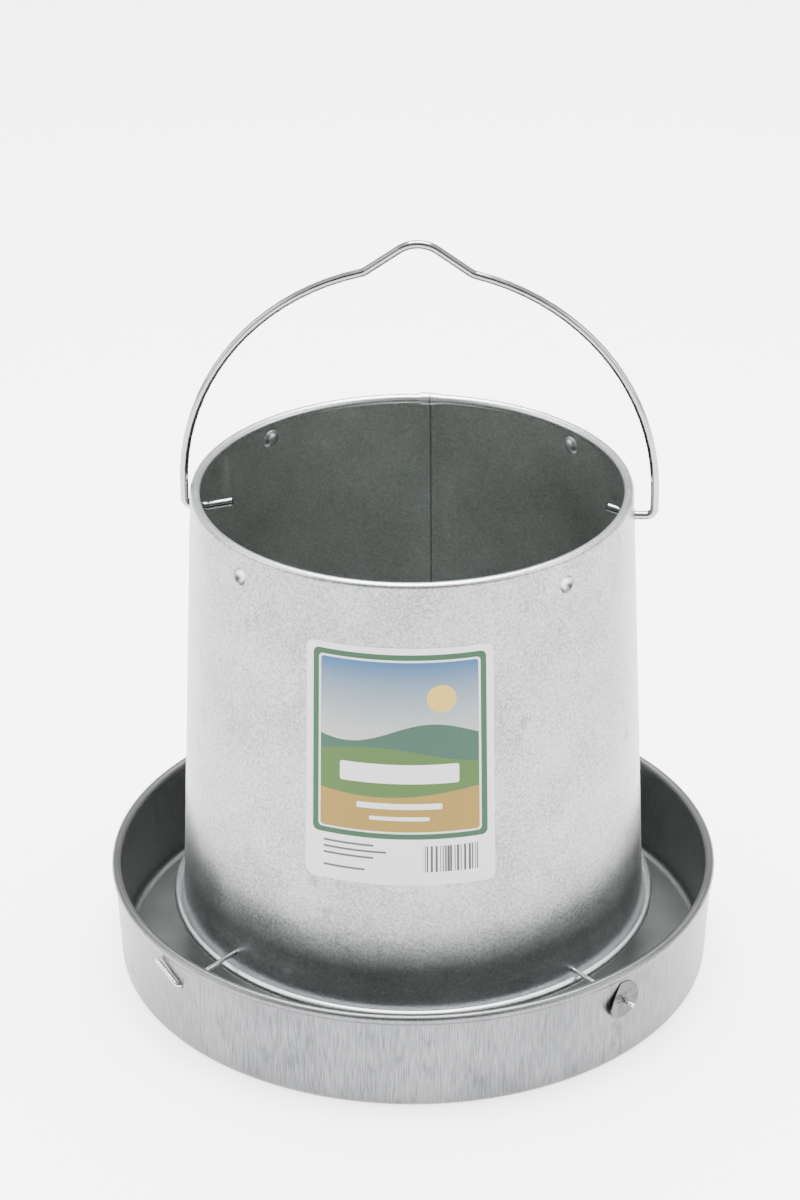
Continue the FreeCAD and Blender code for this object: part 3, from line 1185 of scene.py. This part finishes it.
@dataclass
class CrossRod:
    """Wire through the pan and the hopper, with a bent head outside the pan."""
    finish: DrawnWire
    node: str
    middle_height: float
    radius: float = 1.15 * MM
    pan_height: float = 37.4 * MM
    hopper_radius: float = 119.0 * MM
    head_length: float = 18.7 * MM
    head_slope: float = 24.0
    head_bend: float = 2.4 * MM
    bow_radius: float = 30.0 * MM
    head_radius: float = 152.05 * MM
    tip_radius: float = 158.0 * MM

    def build(self) -> bpy.types.Object:
        """Builds the piece.

        Returns:
            The piece.
        """
        azimuth = ROD_AZIMUTHS[self.node]
        outwards = around(azimuth, 1.0, 0.0)
        along = around(azimuth - 90.0, 1.0, 0.0)
        lean = math.radians(self.head_slope)
        leg = along * math.cos(lean) + UP * math.sin(lean)
        corner = around(azimuth, self.head_radius, self.pan_height)
        wire = BentWire(corner + leg * self.head_length, -leg, self.radius, 20)
        run = self.head_radius - self.hopper_radius
        climb = math.atan2(self.middle_height - self.pan_height, run)
        inwards = -outwards * math.cos(climb) + UP * math.sin(climb)
        bend = math.degrees((-leg).angle(inwards))
        axis = (-leg).cross(inwards).normalized()
        reach = self.head_bend * math.tan(math.radians(bend) / 2.0)
        ease = self.bow_radius * math.tan(climb / 2.0)
        level = (-outwards).cross(UP).normalized()
        slope_length = math.hypot(run, self.middle_height - self.pan_height)
        far_length = self.tip_radius - self.hopper_radius
        wire.feed(self.head_length - reach).turn(bend, self.head_bend, axis)
        if climb > 0.0:
            wire.feed(slope_length - reach - ease).turn(-math.degrees(climb), self.bow_radius, level)
            wire.feed(2.0 * (self.hopper_radius - ease)).turn(-math.degrees(climb), self.bow_radius, level)
            wire.feed(far_length / math.cos(climb) - ease)
        else:
            wire.feed(self.head_radius - reach + self.tip_radius)
        piece = finish_piece(wire.cut(), self.node + "_wire", Body.FEEDER, self.node,
                             self.finish.material())
        crisp_edges(piece, WIRE_CREASE)
        return piece


@dataclass
class PushNut:
    """Round push nut: a bowed disc of spring steel with cut teeth that grip the rod."""
    finish: SpringSteel
    node: str
    azimuth: float
    height: float = 37.4 * MM
    seat: float = 151.0 * MM
    radius: float = 9.9 * MM
    bore: float = 1.25 * MM
    teeth: int = 6
    tooth_length: float = 4.2 * MM
    thickness: float = 0.55 * MM
    tooth_rise: float = 0.9 * MM
    half_slit: float = 0.22 * MM
    lifts: tuple[float, float] = (2.2 * MM, 0.7 * MM)   # of the left and the right edge
    chord: float = 7.4 * MM                 # distance of the sheared edge from the middle
    sheared: Place = (-0.805, 0.59, 0.0)    # its direction from there
    rings: tuple[float, ...] = (2.0 * MM, 2.8 * MM, 3.5 * MM, 4.2 * MM, 5.2 * MM, 6.6 * MM, 8.0 * MM, 9.2 * MM)
    columns: int = 96

    def build(self) -> bpy.types.Object:
        """Builds the piece.

        Returns:
            The piece.
        """
        line = Outline()
        for ring in (self.bore, *self.rings, self.radius):
            line.run(ring, 0.0)
        mesh = line.spin(0.0, 360.0, self.columns)
        slits = [face for face in mesh.faces if self.in_slit(face)]
        bmesh.ops.delete(mesh, geom=slits, context="FACES")
        slice_mesh(mesh, [part * self.chord for part in self.sheared], self.sheared, trim=True)
        bmesh.ops.recalc_face_normals(mesh, faces=mesh.faces)
        for vert in mesh.verts:
            out = vert.co.to_2d().length
            bow = (vert.co.x / self.radius) ** 2 * self.lifts[0 if vert.co.x < 0 else 1]
            tooth = smooth_step(1.0 - (out - self.bore) / (self.tooth_length - self.bore))
            vert.co.z = bow + tooth * self.tooth_rise
        outwards = around(self.azimuth, 1.0, 0.0)
        across = UP.cross(outwards).normalized()
        place = Matrix((across, UP, outwards)).transposed().to_4x4()
        place.translation = around(self.azimuth, self.seat, self.height)
        bmesh.ops.transform(mesh, matrix=place, verts=mesh.verts)
        piece = finish_piece(mesh, self.node + "_disc", Body.FEEDER, self.node, self.finish.material())
        thicken(piece, self.thickness)
        crisp_edges(piece, NUT_CREASE)
        return piece

    def in_slit(self, face: BMFace) -> bool:
        """Tells whether a face lies in one of the slits between the teeth.

        Args:
            face: The face of the flat disc.

        Returns:
            Whether it does.
        """
        middle = face.calc_center_median().to_2d()
        if middle.length > self.tooth_length:
            return False
        pitch = 360.0 / self.teeth
        turn = math.degrees(math.atan2(middle.y, middle.x)) % pitch
        return math.radians(min(turn, pitch - turn)) * middle.length < self.half_slit


@dataclass
class Label:
    """Printed film stuck on the front of the hopper."""
    hopper: Hopper
    film: float = 0.15 * MM
    gap: float = 0.03 * MM
    corner: float = 4.0 * MM
    columns: int = 48
    rows: int = 8

    def build(self) -> bpy.types.Object:
        """Builds the piece.

        Returns:
            The piece.
        """
        low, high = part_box("label")
        middle_radius = self.hopper.radius_at((low.z + high.z) / 2.0) + SHEET / 2.0
        half_turn = math.degrees(math.asin(high.x / (self.hopper.radius_at(low.z) + SHEET / 2.0)))
        width, height = 2.0 * math.radians(half_turn) * middle_radius, high.z - low.z
        mesh = bmesh.new()
        flat = bmesh.ops.create_grid(mesh, x_segments=1, y_segments=1, size=0.5)["verts"]
        bmesh.ops.scale(mesh, vec=(width, height, 1.0), verts=flat)
        bmesh.ops.bevel(mesh, geom=list(mesh.verts), offset=self.corner, segments=6, profile=0.5,
                        affect="VERTICES", material=-1)
        for column in range(1, self.columns):
            slice_mesh(mesh, ((column / self.columns - 0.5) * width, 0.0, 0.0), (1.0, 0.0, 0.0))
        for row in range(1, self.rows):
            slice_mesh(mesh, (0.0, (row / self.rows - 0.5) * height, 0.0), (0.0, 1.0, 0.0))
        film = mesh.loops.layers.uv.new("film")
        for face in mesh.faces:
            for loop in face.loops:
                loop[film].uv = (loop.vert.co.x / width + 0.5, loop.vert.co.y / height + 0.5)
        lift = SHEET / 2.0 + self.gap + self.film / 2.0
        for vert in mesh.verts:
            turn = math.degrees(vert.co.x / middle_radius)
            z = (low.z + high.z) / 2.0 + vert.co.y
            vert.co = around(turn, self.hopper.radius_at(z) + lift, z)
        bmesh.ops.recalc_face_normals(mesh, faces=mesh.faces)
        finish = PrintedFilm(width / MM, height / MM)
        piece = finish_piece(mesh, "label_film", Body.FEEDER, "label", finish.material())
        thicken(piece, self.film)
        crisp_edges(piece, SHEET_CREASE)
        return piece


# ---- studio ------------------------------------------------------------------------------------------------
@dataclass(frozen=True)
class SoftLight:
    """Square soft light."""
    name: str
    place: Place
    target: Place
    size: float                              # its side
    power: float                             # in watts

    def hang(self) -> None:
        """Hangs the light, pointed at its target."""
        lamp = bpy.data.lights.new(self.name, "AREA")
        lamp.size = self.size
        lamp.energy = self.power
        lantern = bpy.data.objects.new(self.name, lamp)
        lantern.location = self.place
        lantern.rotation_euler = (Vector(self.target) - Vector(self.place)).to_track_quat("-Z", "Y").to_euler()
        bpy.context.scene.collection.objects.link(lantern)


@dataclass(frozen=True)
class Flag:
    """Black flag that gives the curled edges and the wires their dark reflections."""
    name: str
    half_size: tuple[float, float]           # half its width and half its height
    place: Place
    tilt: float                              # how far it leans back from lying flat, in degrees about X

    def hang(self) -> None:
        """Hangs the flag, out of the camera's sight."""
        mesh = bmesh.new()
        made = bmesh.ops.create_grid(mesh, x_segments=1, y_segments=1, size=1.0)["verts"]
        bmesh.ops.scale(mesh, vec=(*self.half_size, 1.0), verts=made)
        bmesh.ops.rotate(mesh, cent=(0, 0, 0), matrix=Matrix.Rotation(math.radians(self.tilt), 3, "X"), verts=made)
        bmesh.ops.translate(mesh, vec=self.place, verts=made)
        graph = Graph("flag_cloth")
        graph.dress(Base_Color=(0.02, 0.02, 0.02, 1.0), Roughness=1.0)
        set_on_stage(mesh, self.name, graph.material).visible_camera = False


@dataclass
class Studio:
    """Pale floor, soft lights, flags and the camera."""
    floor_size: float = 12.0
    world: float = 1.5
    lights: tuple[SoftLight, ...] = (SoftLight("overhead", (0.0, 0.3, 2.2), (0.0, 0.0, 0.1), 1.5, 185.0),
                                     SoftLight("left", (-2.0, -0.4, 1.1), (0.0, 0.0, 0.15), 1.4, 28.0),
                                     SoftLight("right", (2.0, -0.4, 1.1), (0.0, 0.0, 0.15), 1.4, 28.0))
    flags: tuple[Flag, ...] = (Flag("flag_front", (1.6, 0.8), (0.0, -2.1, 1.45), 62.0),
                               Flag("flag_back", (1.9, 0.45), (0.0, 2.6, 1.45), 118.0))
    camera_distance: float = 1.4867          # along the floor, from the feeder's axis
    camera_height: float = 0.9734
    camera_azimuth: float = 3.3
    camera_turn: float = 3.532               # heading, degrees to the left of +Y
    camera_pitch: float = 27.631
    camera_roll: float = -0.275
    lens: float = 103.152

    def build(self) -> None:
        """Lays the floor, hangs the lights and the flags, and sets up the camera."""
        mesh = bmesh.new()
        bmesh.ops.create_grid(mesh, x_segments=1, y_segments=1, size=self.floor_size / 2.0)
        set_on_stage(mesh, "floor", PaleFloor().material())
        for light in self.lights:
            light.hang()
        world = bpy.data.worlds.new("studio")
        bpy.context.scene.world = world
        world.use_nodes = True
        background = world.node_tree.nodes["Background"]
        background.inputs["Color"].default_value = (1.0, 1.0, 1.0, 1.0)
        background.inputs["Strength"].default_value = self.world
        for flag in self.flags:
            flag.hang()
        self.camera()

    def camera(self) -> None:
        """Sets up the camera."""
        lens = bpy.data.cameras.new("camera")
        lens.lens = self.lens
        lens.clip_end = 50.0
        view = bpy.data.objects.new("camera", lens)
        turn = (Matrix.Rotation(math.radians(self.camera_turn), 4, "Z")
                @ Matrix.Rotation(math.radians(90.0 - self.camera_pitch), 4, "X")
                @ Matrix.Rotation(math.radians(self.camera_roll), 4, "Z"))
        place = around(self.camera_azimuth, self.camera_distance, self.camera_height)
        view.matrix_world = Matrix.Translation(place) @ turn
        bpy.context.scene.collection.objects.link(view)
        bpy.context.scene.camera = view


def main() -> None:
    """Builds the feeder, piece by piece, then the studio."""
    logging.basicConfig(level=logging.INFO, format="%(message)s")
    hopper = Hopper(GalvanisedSheet("galvanised_hopper", (0.145, 0.149, 0.151), (0.325, 0.331, 0.337), 0.35,
                                    contrast=1.2, seam=True, painted_light_below=56 * MM, inner_light_tone=2.25,
                                    wall=(117.67 * MM, -0.0449)))
    hopper.build()
    Pan(GalvanisedSheet("galvanised_pan", (0.082, 0.084, 0.087), (0.19, 0.193, 0.20), 0.36,
                        grain=0.5 * MM, streak=50.0, contrast=1.1, inner_light_tone=1.35,
                        wall=(148.47 * MM, 0.0449))).build()
    Label(hopper).build()
    Bail(DrawnWire("bail_wire", 0.32, 0.15)).build()
    rod_wire = DrawnWire("rod_wire", 0.42, 0.17)
    CrossRod(rod_wire, "cross_rod_upper", 41.3 * MM).build()
    CrossRod(rod_wire, "cross_rod_lower", 37.4 * MM).build()
    for node, rod in (("push_nut_upper", "cross_rod_upper"), ("push_nut_lower", "cross_rod_lower")):
        PushNut(SpringSteel(), node, ROD_AZIMUTHS[rod] + 180.0).build()
    Studio().build()


if __name__ == "__main__":
    main()
